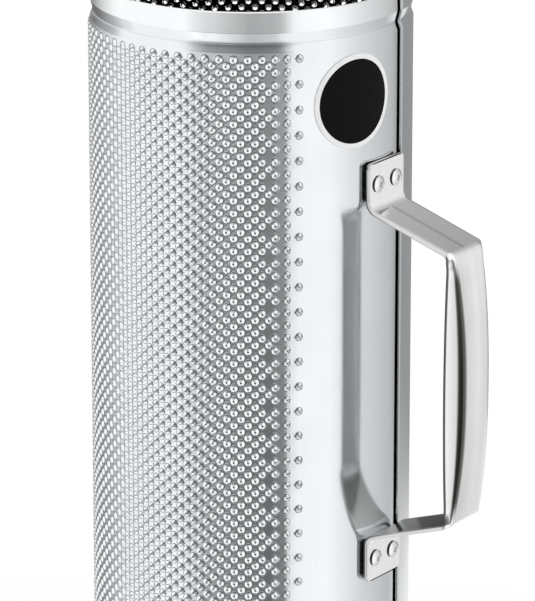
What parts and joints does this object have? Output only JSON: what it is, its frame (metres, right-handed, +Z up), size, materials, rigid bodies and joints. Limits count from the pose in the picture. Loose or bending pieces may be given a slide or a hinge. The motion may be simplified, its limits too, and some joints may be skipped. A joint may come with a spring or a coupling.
{
  "type": "guira",
  "caption": "Metal guira: an upright tube of thin bumped steel sheet, open at both ends, with a lap seam and a riveted strap handle, scraped to keep rhythm.",
  "frame": {"origin": "bottom centre of the whole object's box, on the surface that it stands on; the tube's axis is 27 mm to the -X side of it", "axes": "+Z up along the tube, +X towards the handle"},
  "size_m": [0.2056, 0.152, 0.3586],
  "materials": {
    "tube_steel": "satin stainless sheet",
    "handle_steel": "polished",
    "badge_black": "printed black disc with a pale rim",
    "rivet_steel": "plain",
    "mandrel_steel": "dark, broken off"
  },
  "bodies": {
    "root": {"tube": "tube_steel", "handle": "handle_steel", "badge": "badge_black", "rivet_upper_left": "rivet_steel", "rivet_upper_right": "rivet_steel", "rivet_lower_left": "rivet_steel", "rivet_lower_right": "rivet_steel", "mandrel_upper_left": "mandrel_steel", "mandrel_upper_right": "mandrel_steel", "mandrel_lower_left": "mandrel_steel", "mandrel_lower_right": "mandrel_steel"}
  },
  "joints": []
}
